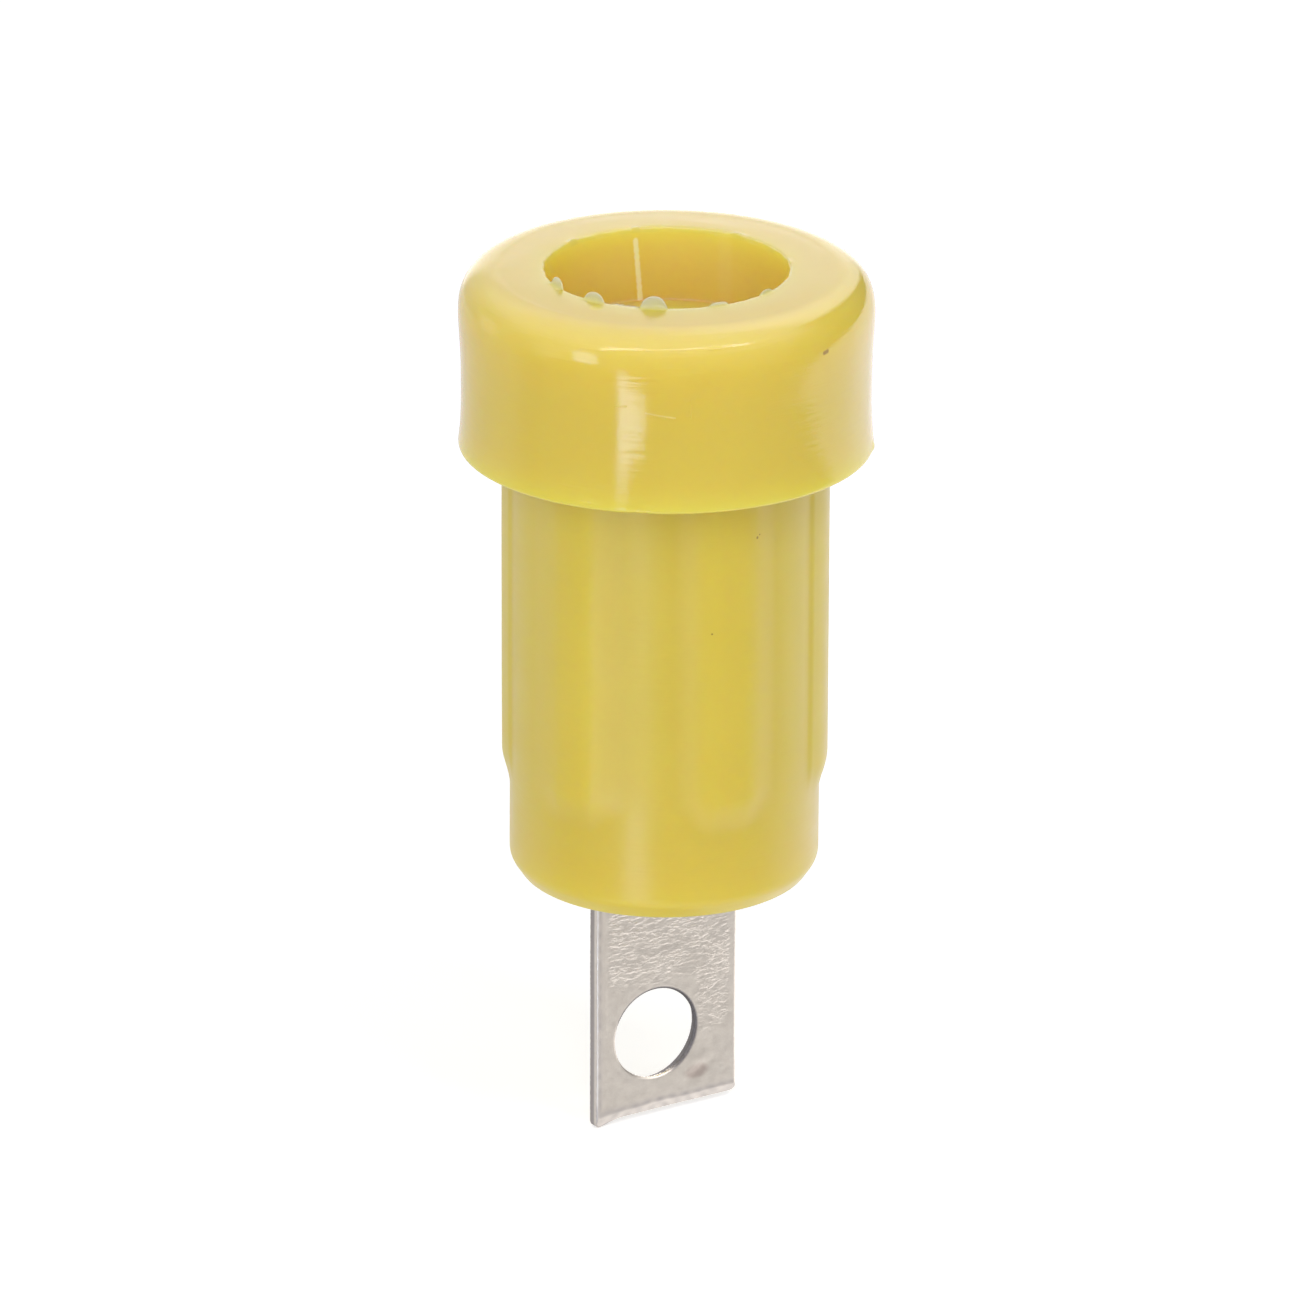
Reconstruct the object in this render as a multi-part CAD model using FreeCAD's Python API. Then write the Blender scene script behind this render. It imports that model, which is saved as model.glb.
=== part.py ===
import FreeCAD, Part
import math
import os

# Insulated press-in socket for a 4 mm banana plug: a moulded body and a stamped contact.
# Sizes are in millimetres and angles in degrees.
# The origin is the centre of the head's underside, the face that seats on the panel.
# +Z runs out of the mouth, X runs across the solder tab, and the tab's front faces -Y.

# Head of the body
head_radius = 5.38
head_height = 4.8
head_edge_round = 0.95
head_side_sink = 0.06
head_foot_break = 0.1

# Recess in the head, which takes the collar of the plug
recess_radius = 3.15
recess_depth = 2.0
recess_rim_break = 0.06

# Barrel below the head, which goes through the panel
barrel_radius = 4.05
barrel_length = 11.78
barrel_foot_inset = 0.3
barrel_foot_rise = 0.44
barrel_floor = 1.6

# Press pads round the barrel, which bite in the panel's hole
pad_count = 6
pad_rise = 0.21
pad_length = 8.7
pad_ramp_length = 0.7
pad_arc = 35.0
pad_flank_arc = 8.0
first_pad_bearing = -8.7

# Sheet that the contact is stamped and rolled from
sheet = 0.38

# Sleeve of the contact, rolled round the plug's pin
plug_bore_radius = 2.05
sleeve_setback = 0.3
sleeve_seam = 0.5
sleeve_lead_in = 0.15
sleeve_clearance = 0.02

# Neck that carries the sleeve's back wall to the plane of the axis
neck_height = 2.6
neck_stub = 0.35
neck_run_in = 0.3

# Solder tab
tab_width = 4.34
tab_reach = 6.9
tab_corner_round = 0.15
tab_edge_roll = 0.16
tab_slot_clearance = 0.04
tab_hole_radius = 1.29
tab_hole_offset = -0.35
tab_hole_from_end = 2.21

# Places worked out from the sizes
ledge_z = head_height - recess_depth
barrel_end_z = -barrel_length
floor_z = barrel_end_z + barrel_floor
sleeve_outer_radius = plug_bore_radius + sheet
sleeve_middle_radius = plug_bore_radius + sheet / 2
sleeve_top_z = ledge_z - sleeve_setback
neck_end_z = floor_z + neck_run_in
neck_start_z = neck_end_z + neck_height
sleeve_end_z = neck_start_z + neck_stub
tab_end_z = barrel_end_z - tab_reach
tab_hole_z = tab_end_z + tab_hole_from_end

# Directions and a margin by which cutting tools run past what they cut
up = FreeCAD.Vector(0, 0, 1)
centre = FreeCAD.Vector(0, 0, 0)
tool_margin = 1.0

# Level sections that the neck is drawn through
neck_steps = 10


def point(radius, z):
    """A point of a profile in the XZ half-plane."""
    return FreeCAD.Vector(radius, 0, z)


def line(start, end):
    return Part.LineSegment(start, end).toShape()


def arc(start, middle, end):
    return Part.Arc(start, middle, end).toShape()


def turned(edges, start_angle=0.0, swept_angle=360.0):
    """Turn a closed profile round the Z axis."""
    face = Part.Face(Part.Wire(edges))
    face.rotate(centre, up, start_angle)
    return face.revolve(centre, up, swept_angle)


def chain(points):
    """Straight edges through the points and back to the first."""
    return [line(a, b) for a, b in zip(points, points[1:] + points[:1])]


def body_outside():
    """Head with a rounded top edge and a slightly drawn-in side, on a chamfered barrel."""
    side_foot = point(head_radius, head_foot_break)
    side_top = point(head_radius, head_height - head_edge_round)
    side_middle = point(head_radius - head_side_sink, (side_foot.z + side_top.z) / 2)
    round_in = head_edge_round * (1 - math.sqrt(0.5))
    round_middle = point(head_radius - round_in, head_height - round_in)
    round_end = point(head_radius - head_edge_round, head_height)
    stations = [
        round_end,
        point(0, head_height),
        point(0, barrel_end_z),
        point(barrel_radius - barrel_foot_inset, barrel_end_z),
        point(barrel_radius, barrel_end_z + barrel_foot_rise),
        point(barrel_radius, 0),
        point(head_radius - head_foot_break, 0),
        side_foot,
    ]
    edges = [line(a, b) for a, b in zip(stations, stations[1:])]
    edges.append(arc(side_foot, side_middle, side_top))
    edges.append(arc(side_top, round_middle, round_end))
    return turned(edges)


def around(radius, bearing):
    """A point above the head's foot, at a bearing from the front towards +X."""
    angle = math.radians(bearing)
    return FreeCAD.Vector(radius * math.sin(angle), -radius * math.cos(angle), tool_margin)


def press_pad(bearing):
    """One raised band on the barrel, with sloping flanks and a ramp at its lower end."""
    crest = barrel_radius + pad_rise
    end = -pad_length - pad_ramp_length
    corners = []
    for side in (-1, 1):
        foot = around(barrel_radius, bearing + side * pad_arc / 2)
        shoulder = around(crest, bearing + side * (pad_arc / 2 - pad_flank_arc))
        overrun = (shoulder - foot) * 0.5
        corners.append([foot - overrun, shoulder + overrun])
    section = Part.Face(Part.Wire(chain(corners[0] + corners[1][::-1])))
    band = section.extrude(FreeCAD.Vector(0, 0, end - 2 * tool_margin))
    profile = [
        point(0, 0),
        point(crest, 0),
        point(crest, -pad_length),
        point(barrel_radius, end),
        point(0, end),
    ]
    return band.common(turned(chain(profile)))


def body_hollow():
    """Recess in the head, and below its ledge the seat of the sleeve down to the floor."""
    seat_radius = sleeve_outer_radius + sleeve_clearance
    rim_z = head_height - recess_rim_break
    rim_radius = recess_radius + recess_rim_break
    profile = [
        point(0, floor_z),
        point(seat_radius, floor_z),
        point(seat_radius, ledge_z),
        point(recess_radius, ledge_z),
        point(recess_radius, rim_z),
        point(rim_radius, head_height),
        point(rim_radius, head_height + tool_margin),
        point(0, head_height + tool_margin),
    ]
    return turned(chain(profile))


def tab_slot():
    """Slot through the floor, in which the tab stands."""
    length = tab_width + 2 * tab_slot_clearance
    width = sheet + 2 * tab_slot_clearance
    corner = FreeCAD.Vector(-length / 2, -width / 2, barrel_end_z - tool_margin)
    return Part.makeBox(length, width, barrel_floor + 2 * tool_margin, corner)


def insulating_body():
    pads = [press_pad(first_pad_bearing + k * 360.0 / pad_count) for k in range(pad_count)]
    solid = body_outside().fuse(pads).removeSplitter()
    return solid.cut([body_hollow(), tab_slot()])


def rolled_sleeve():
    """Split sleeve with a lead-in at its mouth, and its seam at the front."""
    profile = [
        point(plug_bore_radius, sleeve_end_z),
        point(sleeve_outer_radius, sleeve_end_z),
        point(sleeve_outer_radius, sleeve_top_z),
        point(plug_bore_radius + sleeve_lead_in, sleeve_top_z),
        point(plug_bore_radius, sleeve_top_z - sleeve_lead_in),
    ]
    seam_angle = math.degrees(sleeve_seam / sleeve_middle_radius)
    front = -90.0
    return turned(chain(profile), front + seam_angle / 2, 360.0 - seam_angle)


def neck_half_angle():
    """Half of the angle that the tab's width takes up when it is rolled into the sleeve."""
    return math.degrees(tab_width / 2 / sleeve_middle_radius)


def neck_root():
    """Stretch of the sleeve's back wall that goes on below the sleeve's end."""
    profile = [
        point(plug_bore_radius, neck_start_z),
        point(sleeve_outer_radius, neck_start_z),
        point(sleeve_outer_radius, sleeve_end_z),
        point(plug_bore_radius, sleeve_end_z),
    ]
    back = 90.0
    return turned(chain(profile), back - neck_half_angle(), 2 * neck_half_angle())


def rolled_section(travel):
    """Level section through the neck's sheet at a share of the way down, less and less rolled."""
    rolled_share = math.cos(math.pi / 2 * travel)
    roll_radius = sleeve_middle_radius / rolled_share
    middle_y = sleeve_middle_radius * rolled_share**2
    slope = math.pi / 2 * sleeve_middle_radius / neck_height * math.sin(math.pi * travel)
    half_through = sheet / 2 * math.hypot(1, slope)
    z = neck_start_z - travel * neck_height

    def side(outwards, share):
        """Point on one face of the sheet, at a share of its half width."""
        angle = share * tab_width / 2 / roll_radius
        reach = roll_radius + outwards
        y = middle_y + reach * math.cos(angle) - roll_radius
        return FreeCAD.Vector(reach * math.sin(angle), y, z)

    outer = [side(half_through, share) for share in (-1, 0, 1)]
    inner = [side(-half_through, share) for share in (1, 0, -1)]
    edges = [arc(*outer), line(outer[2], inner[0]), arc(*inner), line(inner[2], outer[0])]
    return Part.Wire(edges)


def flat_section(z):
    """Level section through the flat tab."""
    back = [FreeCAD.Vector(x, sheet / 2, z) for x in (-tab_width / 2, tab_width / 2)]
    front = [FreeCAD.Vector(x, -sheet / 2, z) for x in (tab_width / 2, -tab_width / 2)]
    return Part.Wire(chain(back + front))


def neck():
    """Sheet that unrolls and flattens as it jogs from the sleeve's back wall to the axis."""
    sections = [rolled_section(k / neck_steps) for k in range(neck_steps)]
    return Part.makeLoft(sections + [flat_section(neck_end_z)], True)


def solder_tab():
    """Flat tab with a hole, rounded corners and the die's roll along its front edges."""
    corner = FreeCAD.Vector(-tab_width / 2, -sheet / 2, tab_end_z)
    tab = Part.makeBox(tab_width, sheet, neck_end_z - tab_end_z, corner)
    ends = [e for e in tab.Edges if e.BoundBox.ZMax < tab_hole_z]
    corners = [e for e in ends if e.BoundBox.YLength > sheet / 2]
    tab = tab.makeFillet(tab_corner_round, corners)
    fronts = [e for e in tab.Edges if e.BoundBox.YMax < 0]
    outline = [e for e in fronts if e.BoundBox.ZMin < tab_hole_z]
    tab = tab.makeFillet(tab_edge_roll, outline)
    bore = Part.makeCylinder(
        tab_hole_radius,
        sheet + 2 * tool_margin,
        FreeCAD.Vector(tab_hole_offset, -sheet / 2 - tool_margin, tab_hole_z),
        FreeCAD.Vector(0, 1, 0),
    )
    return tab.cut(bore)


def contact():
    return rolled_sleeve().fuse([neck_root(), neck(), solder_tab()]).removeSplitter()


os.makedirs("parts", exist_ok=True)
nodes = {
    "insulating_body": insulating_body(),
    "contact": contact(),
}
for name, shape in nodes.items():
    shape.exportStep("parts/" + name + ".step")
    print(name, len(shape.Solids), "solid, valid:", shape.isValid(), "volume:", round(shape.Volume, 2))
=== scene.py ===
"""Looks of an insulated press-in socket for a 4 mm banana plug.

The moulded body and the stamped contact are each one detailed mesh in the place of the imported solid.
Sizes are in millimetres and bearings in degrees from -Y towards +X, until a mesh is made in metres.
"""
import math
from functools import reduce
import bmesh
import bpy
import numpy as np
from mathutils import Matrix, Vector


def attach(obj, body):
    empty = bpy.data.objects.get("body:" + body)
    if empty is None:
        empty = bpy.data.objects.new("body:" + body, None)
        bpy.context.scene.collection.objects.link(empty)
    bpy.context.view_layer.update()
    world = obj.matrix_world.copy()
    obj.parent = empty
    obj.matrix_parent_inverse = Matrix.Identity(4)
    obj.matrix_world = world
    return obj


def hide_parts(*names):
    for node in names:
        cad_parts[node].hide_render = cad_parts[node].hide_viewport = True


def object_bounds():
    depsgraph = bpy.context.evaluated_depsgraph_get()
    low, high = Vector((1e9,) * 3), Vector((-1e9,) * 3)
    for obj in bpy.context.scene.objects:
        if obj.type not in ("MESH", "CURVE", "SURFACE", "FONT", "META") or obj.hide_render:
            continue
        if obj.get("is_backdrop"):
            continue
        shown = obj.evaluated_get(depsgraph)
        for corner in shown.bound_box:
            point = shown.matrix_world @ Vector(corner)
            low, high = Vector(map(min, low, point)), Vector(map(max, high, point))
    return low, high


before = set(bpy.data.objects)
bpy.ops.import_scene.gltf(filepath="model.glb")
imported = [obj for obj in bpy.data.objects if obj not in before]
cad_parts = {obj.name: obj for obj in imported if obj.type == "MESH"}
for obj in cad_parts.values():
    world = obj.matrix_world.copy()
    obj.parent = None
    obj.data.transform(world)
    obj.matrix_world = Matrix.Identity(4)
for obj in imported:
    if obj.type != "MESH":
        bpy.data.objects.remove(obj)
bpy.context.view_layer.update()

MM = 0.001
dice = np.random.default_rng(4)

# Head of the body
head_radius = 5.38
head_height = 4.8
edge_round_across = 1.07
edge_round_down = 1.15
edge_round_power = 2.4
top_fall = 0.024
side_sink_depth = 0.07
side_sink_z = 1.4
head_foot_round = 0.1
recess_radius = 3.15
ledge_z = 2.8
rim_radius = 3.22

# Barrel and its press pads
barrel_radius = 4.05
barrel_end_z = -11.78
barrel_foot_inset = 0.3
barrel_foot_rise = 0.44
floor_z = -10.18
seat_radius = 2.45
pad_count = 6
pad_rise = 0.21
pad_end_z = -8.7
pad_ramp_end_z = -9.4
pad_arc = 35.0
pad_flank_arc = 8.0
first_pad_bearing = -8.7

# Grid of the body: rows across the end face, and steps down the recess's wall
end_face_shares = (0.0, 0.06, 0.3, 0.6, 0.9)
end_face_radius = 3.5
recess_wall_steps = 18

# Marks on the body: a groove down the recess's far wall that carries a painted highlight, parting line, nick
# and nib
groove_bearings = (-167.3, -164.9)
groove_width = 0.05
groove_depth = 0.02
parting_height = 0.003
blob_height = 0.025
nick_in = 0.014
nick_up = 0.016
nib_out = 0.04

# Contact
sheet = 0.38
plug_bore_radius = 2.05
sleeve_middle_radius = 2.24
sleeve_top_z = 2.5
sleeve_end_z = -6.93
sleeve_lead_in = 0.15
sleeve_seam = 0.5
neck_start_z = -7.28
neck_end_z = -9.88
tab_width = 4.34
tab_end_z = -18.68
tab_corner_round = 0.15
tab_edge_roll = 0.08
tab_hole_radius = 1.29
tab_hole_x = -0.35
tab_hole_z = -16.47
end_bevel_height = 0.24
tab_hole_roll = 0.09
hole_bore_radius = 1.235
hole_breakout = 0.13
corner_burr = 0.17
slot_gap = 0.04
dent_x = 1.02
dent_z = -17.84

# Grid of the sleeve: rows up its wall, and columns from the neck's edge to the seam
sleeve_rows = 9
seam_columns = 44

# Camera: bearing, elevation and roll of the view, distance, and its aim in the view's own axes
view_bearing = -32.7
view_elevation = 21.24
view_roll = 0.27
view_distance = 304.02
aim_right = -0.22
aim_up = -5.95
photo_side = 1313
focal_pixels = 11662.8


def smooth_step(x, low, high):
    """Smooth rise from 0 to 1 as x passes through a range."""
    t = np.clip((x - low) / (high - low), 0, 1)
    return t * t * (3 - 2 * t)


def bell(x, centre, width):
    """Round hump of height 1 that reaches 0.6 at one width from its centre."""
    return np.exp(-0.5 * ((x - centre) / width) ** 2)


def turn(bearing):
    """Bearing brought between -180 and 180."""
    return (bearing + 180) % 360 - 180


def ripple(along, across, waves, seed):
    """Soft irregular wave between about -1 and 1, made of a few sines."""
    source = np.random.default_rng(seed)
    total = np.zeros(np.broadcast(along, across).shape)
    for _ in range(waves):
        phase = source.uniform(0, 2 * math.pi, 2)
        pace = source.uniform(0.6, 1.9, 2)
        total = total + np.sin(along * pace[0] + phase[0]) * np.sin(across * pace[1] + phase[1])
    return total / math.sqrt(waves)


def build_object(name, points, faces, marks=None):
    """Smooth-shaded object from points in millimetres, with named shares on its points."""
    mesh = bpy.data.meshes.new(name)
    mesh.from_pydata((np.asarray(points) * MM).tolist(), [], faces)
    for label, values in (marks or {}).items():
        layer = mesh.attributes.new(label, "FLOAT", "POINT")
        layer.data.foreach_set("value", np.asarray(values, dtype=np.float32))
    made = bpy.data.objects.new(name, mesh)
    bpy.context.scene.collection.objects.link(made)
    form = bmesh.new()
    form.from_mesh(mesh)
    bmesh.ops.remove_doubles(form, verts=form.verts, dist=2e-7)
    bmesh.ops.recalc_face_normals(form, faces=form.faces)
    form.to_mesh(mesh)
    form.free()
    mesh.polygons.foreach_set("use_smooth", [True] * len(mesh.polygons))
    mesh.update()
    return made


# Moulded body: a grid of columns round the axis and rows along the section
front_columns = np.arange(-100, 100, 0.74)
back_columns = np.concatenate([np.arange(100, 191, 1.3), np.arange(191, 198, 0.5), np.arange(198, 260, 1.3)])
bearings = np.concatenate([front_columns, back_columns]) + view_bearing
column_count = len(bearings)


def run(start, end, steps):
    """Even points from start up to but not including end."""
    return [tuple(point) for point in np.linspace(start, end, steps, endpoint=False)]


def corner(before, tip, after, radius, steps):
    """Points round a rounded corner of the section, at a given distance each way from its tip."""
    tip = np.array(tip)
    start, end = (tip + (other - tip) * radius / math.dist(other, tip) for other in (before, after))
    t = np.linspace(0, 1, steps + 1)[:, None]
    curve = (1 - t) ** 2 * start + 2 * t * (1 - t) * tip + t * t * end
    return [tuple(point) for point in curve]


def slot_radius(bearing):
    """Distance from the axis to the outline of the tab's slot."""
    half_x = tab_width / 2 + slot_gap
    half_y = sheet / 2 + slot_gap
    angle = np.radians(bearing)
    return np.minimum(half_x / np.maximum(np.abs(np.sin(angle)), 1e-9),
                      half_y / np.maximum(np.abs(np.cos(angle)), 1e-9))


def pad_share(bearing, z):
    """How far the surface stands on a press pad, from 0 on the barrel to 1 on the crest."""
    step = 360 / pad_count
    off = np.abs((bearing - first_pad_bearing + step / 2) % step - step / 2)
    seen = turn(bearing - view_bearing)

    # The flanks are soft, a little crisper away from the camera's side, and one is worn low
    crisp = 0.2 * smooth_step(np.abs(seen + 6), 60, 66)
    soft_flank = smooth_step(-off, -pad_arc / 2 - 3.5, -pad_arc / 2 + pad_flank_arc + 5.0)
    crisp_flank = smooth_step(-off, -pad_arc / 2 - 0.7, -pad_arc / 2 + 2.3)
    flank = soft_flank + (crisp_flank - soft_flank) * crisp
    flank = flank * (1 - 0.45 * bell(seen, -49, 9))

    # The ramp at the lower end starts higher towards the pad's corners
    corner_drop = 0.22 * smooth_step(off, 6.0, 16.0)
    ramp = smooth_step(z, pad_ramp_end_z + corner_drop - 0.1, pad_end_z + corner_drop + 0.25)
    return flank * ramp


def side_sink(z, seen):
    """Depth of the head's drawn-in side, which lies higher up away from the front."""
    top = head_height - edge_round_down
    warp = 1 + 0.7 * smooth_step(np.abs(seen + 5), 10, 45)
    above = np.clip((z - side_sink_z) / (top - side_sink_z), 0, 1) ** warp
    below = np.clip((side_sink_z - z) / (side_sink_z - head_foot_round), 0, 1) ** 2.2
    return side_sink_depth * np.where(z > side_sink_z, 0.5 + 0.5 * np.cos(math.pi * above), 1 - below)


def outside_rows():
    """Section from the barrel's end, up the barrel and round the head, to the edge of the recess."""
    foot_in = (barrel_radius - barrel_foot_inset, barrel_end_z)
    foot_out = (barrel_radius, barrel_end_z + barrel_foot_rise)
    under_in = (barrel_radius, 0.0)
    under_out = (head_radius, 0.0)
    side_top = (head_radius, head_height - edge_round_down)
    rows = corner((0, barrel_end_z), foot_in, foot_out, 0.09, 4)
    rows += corner(foot_in, foot_out, under_in, 0.16, 6)
    rows += run((barrel_radius, -11.1), (barrel_radius, -9.6), 8)
    rows += run((barrel_radius, -9.6), (barrel_radius, -8.4), 19)
    rows += run((barrel_radius, -8.4), (barrel_radius, -0.3), 18)
    rows += corner(foot_out, under_in, under_out, 0.05, 3)
    rows += run((barrel_radius + 0.14, 0.0), (head_radius - 0.2, 0.0), 6)
    rows += corner(under_in, under_out, side_top, head_foot_round, 6)
    rows += run((head_radius, 0.16), (head_radius, side_top[1]), 32)
    power = 2 / edge_round_power
    leans = np.concatenate([
        np.arange(0, 15, 1.4), np.arange(15, 42, 1.0), np.arange(42, 86, 2.9), [86.5, 88.5, 90],
    ])
    for lean in np.radians(leans):
        rows.append((
            head_radius - edge_round_across * (1 - math.cos(lean) ** power),
            side_top[1] + edge_round_down * math.sin(lean) ** power,
        ))
    rows += run((head_radius - edge_round_across - 0.08, head_height), (rim_radius + 0.05, head_height), 9)
    return rows


# Flash fins on the rim of the recess: bearing, width along the rim, height
rim_fins = [
    (-94.5, 0.60, 0.25),
    (-68.2, 0.62, 0.24),
    (-38.7, 0.70, 0.33),
    (-8.3, 0.56, 0.10),
    (20.0, 0.52, 0.10),
    (-162.4, 0.34, 0.07),
    (112.2, 0.44, 0.05),
    (162.0, 0.24, 0.05),
    (68.0, 0.4, 0.03),
]


# Rows round the rim: step inwards, shares of the fins' lean, of the unevenness and of the
# film's reach, step down, and share of the fins' height
rim_rows = [
    (-0.02, 0, 0, 0, -0.001, 0),
    (0.005, 0.2, 0, 0, 0.004, 0.45),
    (0.02, 0.3, 0.5, 0, 0.012, 0.85),
    (0.035, 0.3, 1, 0, 0.02, 0.99),
    (0.05, 0.3, 1, 0.4, 0.028, 0.92),
    (0.058, 0.2, 1, 1, 0.042, 0.6),
    (0.06, 0, 1, 1, 0.07, 0.2),
    (0.066, 0, 1, 0.5, 0.10, 0),
    (0.07, 0, 0, 0, 0.16, 0),
]


def fin_height(bearing):
    """Height of the flash that stands on the rim."""
    total = np.zeros_like(bearing)
    for centre, width, height in rim_fins:
        off = np.abs(turn(bearing - centre)) * math.radians(1) * rim_radius / (width / 2)
        total = np.maximum(total, height * np.clip(1 - off**2.2, 0, 1) ** 0.55)
    ragged = 0.012 * np.clip(ripple(np.radians(bearing) * 31, 0 * bearing, 6, 31), 0, 1)
    return total + ragged


def film_reach(bearing):
    """How far a thin film of flash reaches in over the recess."""
    off = turn(bearing + 52.5)
    shape = smooth_step(off, -9, -5) * smooth_step(-off, -9, -5)
    return 0.16 * shape * (1 + 0.15 * np.sin(off * 2.1))


# Line that the mould's parting left on the head's rounded edge: bearing in view, height
parting_line = np.array([
    (-75, 4.16), (-61, 4.12), (-53, 4.05), (-36, 4.20), (-19, 4.32),
    (0, 4.41), (25, 4.40), (41, 4.46), (60, 4.5),
])


def body_rows():
    """Radius and height of each row of the grid, and the rows where the rim starts and ends."""
    rows_r, rows_z = [], []

    def add(r, z):
        rows_r.append(np.broadcast_to(r, column_count).astype(float))
        rows_z.append(np.broadcast_to(z, column_count).astype(float))

    slot = slot_radius(bearings)
    for share in end_face_shares:
        add(slot + (end_face_radius - slot) * share, barrel_end_z)
    for r, z in outside_rows():
        add(r, z)

    # Rim of the recess, with its fins and its film of flash
    first_rim_row = len(rows_r)
    fins = fin_height(bearings)
    film = film_reach(bearings)
    uneven = 0.012 * ripple(np.radians(bearings) * 23, 0 * bearings, 5, 7)
    for inwards, lean, rough, reach, down, rise in rim_rows:
        r = rim_radius - inwards - lean * fins**2 - rough * uneven - reach * film
        add(r, head_height - down + rise * fins)
    last_rim_row = len(rows_r)

    # Recess, ledge and seat, then the floor and the slot through it
    inside = run((recess_radius, 4.56), (recess_radius, ledge_z + 0.1), recess_wall_steps)
    inside += corner((recess_radius, head_height), (recess_radius, ledge_z), (seat_radius, ledge_z), 0.07, 3)
    inside += run((recess_radius - 0.14, ledge_z), (seat_radius + 0.08, ledge_z), 5)
    inside += corner((recess_radius, ledge_z), (seat_radius, ledge_z), (seat_radius, floor_z), 0.06, 3)
    inside += run((seat_radius, 2.5), (seat_radius, floor_z + 0.1), 9)
    inside += corner((seat_radius, ledge_z), (seat_radius, floor_z), (0, floor_z), 0.06, 2)
    for r, z in inside:
        add(r, z)
    for share in (0.9, 0.6, 0.3, 0.06):
        add(slot + (seat_radius - 0.02 - slot) * share, floor_z)
    for share in (0.0, 0.04, 0.5, 0.96):
        add(slot, floor_z + (barrel_end_z - floor_z) * share)
    return np.array(rows_r), np.array(rows_z), first_rim_row, last_rim_row


def parting_bead(z, seen):
    """Fine bead that breaks up along its length, with one small blob on it."""
    line_z = np.interp(seen, parting_line[:, 0], parting_line[:, 1])
    shown = smooth_step(seen, -72, -50) * smooth_step(-seen, -62, -36)
    strong = 0.35 + 0.65 * smooth_step(seen, -22, -14) * smooth_step(-seen, -30, -20)
    broken = 0.7 + 0.3 * ripple(np.radians(seen) * 60, 0 * seen, 4, 9)
    bead = parting_height * bell(z, line_z, 0.02) * shown * strong * np.clip(broken, 0.1, 1.3)
    return bead + blob_height * bell(z, 4.385, 0.02) * bell(seen, 13.3, 0.7)


def top_change(r, b, top):
    """Change in height of the top, which falls a little towards its edge and isn't quite flat."""
    flat_end = head_radius - edge_round_across
    across = (np.minimum(r, flat_end) - rim_radius) / (flat_end - rim_radius)
    fall = top_fall * across**2 * smooth_step(-r, -head_radius + 0.1, -flat_end)
    spread = smooth_step(r, 3.3, 3.8) * smooth_step(-r, -flat_end, -4.0)
    wave = 0.004 * ripple(np.radians(b) * 3, r * 2.5, 6, 15) * spread
    return np.where(top, wave - fall, -fall)


def groove_and_highlight_share(z, seen):
    """Groove down the far wall of the recess, whose share also lays a painted highlight along it."""
    off = turn(seen - np.interp(z, (2.9, 4.5), groove_bearings)) * math.radians(1) * recess_radius
    return bell(off, 0, groove_width) * smooth_step(-z, -4.62, -4.45) * (0.85 + 0.15 * np.sin(z * 38))


def flash_marks(shape, first_rim_row, last_rim_row):
    """Shares of the points that the fins and the film of flash cover."""
    fins_mark = np.zeros(shape)
    pale_rim = 0.28 + 0.12 * ripple(np.radians(bearings) * 17, 0 * bearings, 5, 41)
    fins_mark[first_rim_row + 1:last_rim_row - 1] = np.clip(fin_height(bearings) / 0.14 + pale_rim, 0, 1)
    film_mark = np.zeros(shape)
    film_mark[first_rim_row + 3:last_rim_row] = np.clip(film_reach(bearings) / 0.1, 0, 1)
    return fins_mark.ravel(), film_mark.ravel()


def body_points():
    """Places and marks of the body's grid."""
    r, z, first_rim_row, last_rim_row = body_rows()
    b = np.broadcast_to(bearings, r.shape)
    seen = turn(b - view_bearing)
    row = np.broadcast_to(np.arange(len(r))[:, None], r.shape)
    outer = (row >= len(end_face_shares)) & (row < first_rim_row)
    wall = (row >= last_rim_row) & (row < last_rim_row + recess_wall_steps + 2)

    barrel = outer & (r > 3.9) & (r < 4.2) & (z < -0.02)
    r = np.where(barrel, r + pad_rise * pad_share(b, z) * smooth_step(-z, -0.1, 0.0), r)
    wander = ripple(np.radians(b) * 2.0, z * 0.7, 6, 3)
    r = np.where(barrel, r + 0.006 * wander * smooth_step(z, barrel_end_z, barrel_end_z + 1), r)

    side = outer & (r > 4.2) & (z > head_foot_round)
    side_top = head_height - edge_round_down
    r = np.where(side & (z < side_top), r - side_sink(z, seen), r)
    r = np.where(side & (r > 5.0), r + 0.004 * wander, r)
    rounded = side & (z > side_top) & (z < head_height - 0.01)
    bead = parting_bead(z, seen)
    r = np.where(rounded, r + bead * 0.8, r)
    z = np.where(rounded, z + bead * 0.6, z)

    # Nick in the lower edge of the head, and a nib of flash at its right
    foot = outer & (r > 5.1) & (z < 0.2)
    nick = bell(seen, -8.4, 1.0) + 0.8 * bell(seen, -5.3, 0.8)
    r = np.where(foot, r - nick_in * nick, r)
    z = np.where(foot, z + nick_up * nick, z)
    nib = bell(seen, 84.0, 1.6)
    r = np.where(foot, r + nib_out * nib * smooth_step(z, -0.02, 0.1), r)

    upper = outer & (z > side_top)
    z = np.where(upper, z + top_change(r, b, r < head_radius - edge_round_across), z)
    # Groove down the recess's far wall; its share stays on the points, where the material paints a highlight
    # along it
    groove_and_highlight = groove_and_highlight_share(z, seen) * wall
    r = r - groove_depth * groove_and_highlight

    angle = np.radians(b)
    points = np.stack([r * np.sin(angle), -r * np.cos(angle), z], -1)
    fins_mark, film_mark = flash_marks(r.shape, first_rim_row, last_rim_row)
    return points, {"flash": fins_mark, "film": film_mark, "groove_and_highlight": groove_and_highlight.ravel()}


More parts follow.
